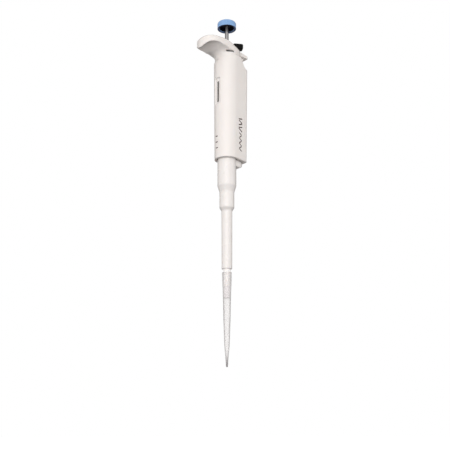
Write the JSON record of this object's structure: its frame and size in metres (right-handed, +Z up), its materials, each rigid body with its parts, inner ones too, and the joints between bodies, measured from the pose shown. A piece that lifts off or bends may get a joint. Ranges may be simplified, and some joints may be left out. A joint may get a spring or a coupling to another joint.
{
  "type": "adjustable micropipette",
  "caption": "Slim adjustable air-displacement pipette with finger hook, press button on a steel rod, volume counter window, thumb ejector, stepped sleeve and fitted tip.",
  "frame": {"origin": "on the long axis, at the middle of the sleeve's land, the plain cylinder that a stand clip holds", "axes": "+Z up the long axis to the push button, -X towards the finger hook and the counter window, +X towards the tip ejector, -Y the side with the printed mark"},
  "size_m": [0.0526, 0.024, 0.3087],
  "materials": {
    "blue_plastic": "gloss, finely fluted",
    "navy_plastic": "matte",
    "polished_steel": "ground and polished",
    "brass_parts": "turned",
    "piston_steel": "lapped",
    "spring_steel": "drawn wire and stamped",
    "dark_plastic": "matte",
    "light_plastic": "satin",
    "black_plastic": "satin black",
    "drum_plastic": "black with white digits",
    "black_rubber": "soft",
    "white_shell": "satin white",
    "white_sleeve": "satin white",
    "clear_window": "clear, polished",
    "clear_tip": "translucent polypropylene",
    "filter_fibre": "sintered"
  },
  "bodies": {
    "handle": {"handle_shell": "white_shell", "rear_cover": "white_shell", "window_lens": "clear_window", "top_bush": "light_plastic", "snap_ring": "dark_plastic", "screw_nut": "brass_parts", "lock_oring": "black_rubber", "counter_frame": "dark_plastic", "counter_base": "dark_plastic", "pinion_axle": "spring_steel", "spring_seat": "dark_plastic", "return_spring": "spring_steel", "blowout_spring": "spring_steel", "blowout_washer": "spring_steel", "cylinder_nut": "dark_plastic", "air_cylinder": "light_plastic", "piston_seal": "light_plastic", "seal_oring": "black_rubber", "seal_retainer": "light_plastic", "nozzle_oring": "black_rubber", "nozzle": "white_sleeve", "ejector_spring": "spring_steel"},
    "stop_washer": {"thrust_washer": "spring_steel"},
    "adjuster": {"adjusting_screw": "brass_parts"},
    "plunger": {"push_button": "blue_plastic", "button_insert": "navy_plastic", "plunger_rod": "polished_steel", "stop_collar": "brass_parts", "spring_collar": "brass_parts", "piston": "piston_steel"},
    "tens_drum": {"drum_tens": "drum_plastic", "drive_sleeve": "dark_plastic"},
    "hundreds_drum": {"drum_hundreds": "drum_plastic"},
    "thousands_drum": {"drum_thousands": "drum_plastic"},
    "low_pinion": {"carry_pinion_low": "light_plastic"},
    "high_pinion": {"carry_pinion_high": "light_plastic"},
    "lever": {"lock_lever": "black_plastic"},
    "ejector": {"ejector_button": "white_shell", "ejector_rod": "spring_steel", "ejector_sleeve": "white_sleeve"},
    "fitted_tip": {"tip": "clear_tip", "tip_filter": "filter_fibre"}
  },
  "joints": [
    {"name": "volume_set", "type": "hinge", "parent": "stop_washer", "child": "adjuster", "pos_m": [0, 0, 0.1231], "axis": [0, 0, 1], "range_deg": [-1090, 2170]},
    {"name": "volume_travel", "type": "slide", "parent": "handle", "child": "stop_washer", "axis": [0, 0, 1], "range_m": [-0.00432, 0.00864]},
    {"name": "plunger_press", "type": "slide", "parent": "adjuster", "child": "plunger", "axis": [0, 0, -1], "range_m": [0, 0.0082], "stiffness_N_per_m": 350, "springref_m": -0.012, "deforming": ["return_spring", "blowout_spring"]},
    {"name": "tens_turn", "type": "hinge", "parent": "handle", "child": "tens_drum", "pos_m": [0, 0, 0.0911], "axis": [0, 0, 1], "range_deg": [-1090, 2170]},
    {"name": "hundreds_turn", "type": "hinge", "parent": "handle", "child": "hundreds_drum", "pos_m": [0, 0, 0.0974], "axis": [0, 0, 1], "range_deg": [-109, 217]},
    {"name": "thousands_turn", "type": "hinge", "parent": "handle", "child": "thousands_drum", "pos_m": [0, 0, 0.1038], "axis": [0, 0, 1], "range_deg": [-10.9, 21.7]},
    {"name": "low_pinion_turn", "type": "hinge", "parent": "handle", "child": "low_pinion", "pos_m": [0.0095, 0, 0.0943], "axis": [0, 0, 1], "range_deg": [-545, 275]},
    {"name": "high_pinion_turn", "type": "hinge", "parent": "handle", "child": "high_pinion", "pos_m": [0.0095, 0, 0.1007], "axis": [0, 0, 1], "range_deg": [-55, 28]},
    {"name": "lock_lever_swing", "type": "hinge", "parent": "handle", "child": "lever", "pos_m": [0, 0, 0.1431], "axis": [0, 0, 1], "range_deg": [0, 64]},
    {"name": "ejector_press", "type": "slide", "parent": "handle", "child": "ejector", "axis": [0, 0, -1], "range_m": [0, 0.0065], "stiffness_N_per_m": 400, "springref_m": -0.012, "deforming": ["ejector_spring"]},
    {"name": "tip_release", "type": "slide", "parent": "ejector", "child": "fitted_tip", "axis": [0, 0, -1], "range_m": [0, 0.025]}
  ],
  "couplings": [
    {"joint": "volume_set", "follows": "volume_travel", "rad_per_m": 4363.3},
    {"joint": "tens_turn", "follows": "volume_travel", "rad_per_m": 4363.3},
    {"joint": "hundreds_turn", "follows": "volume_travel", "rad_per_m": 436.33},
    {"joint": "thousands_turn", "follows": "volume_travel", "rad_per_m": 43.633},
    {"joint": "low_pinion_turn", "follows": "volume_travel", "rad_per_m": -1090.8},
    {"joint": "high_pinion_turn", "follows": "volume_travel", "rad_per_m": -109.08}
  ]
}
